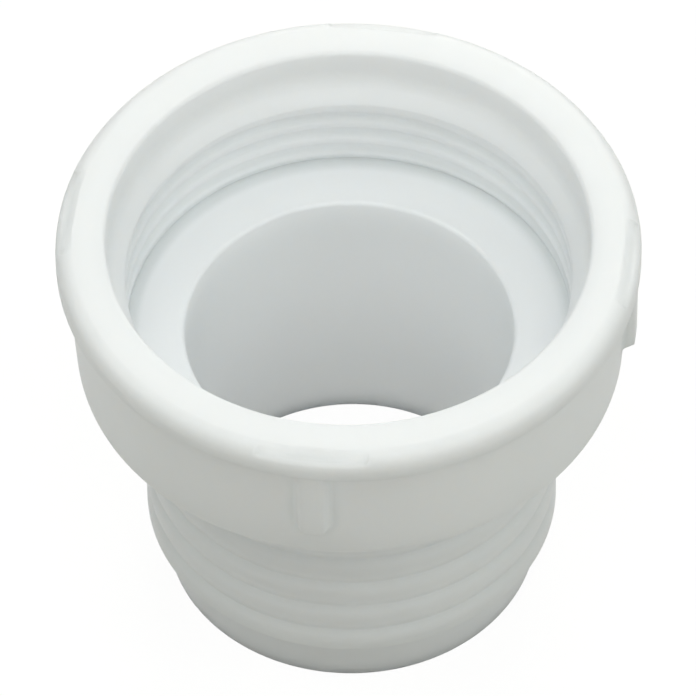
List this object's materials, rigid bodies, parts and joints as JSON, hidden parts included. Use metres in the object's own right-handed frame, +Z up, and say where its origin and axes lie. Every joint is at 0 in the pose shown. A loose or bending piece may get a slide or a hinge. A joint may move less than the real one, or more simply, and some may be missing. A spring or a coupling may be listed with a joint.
{
  "type": "waste pipe reducer",
  "caption": "White moulded plastic waste pipe reducer: a wide threaded socket with a ribbed collar and inner seat steps down to a narrower ringed spigot, with a plain bore right through.",
  "frame": {"origin": "centre of the spigot's end face, on which the part stands", "axes": "+Z up along the bore, from the spigot to the socket's rim; the grip ribs lie on +X, +Y, -X and -Y"},
  "size_m": [0.0584, 0.0584, 0.0468],
  "materials": {
    "white_plastic": "moulded white polypropylene, satin"
  },
  "bodies": {
    "root": {"reducer_body": "white_plastic"}
  },
  "joints": []
}
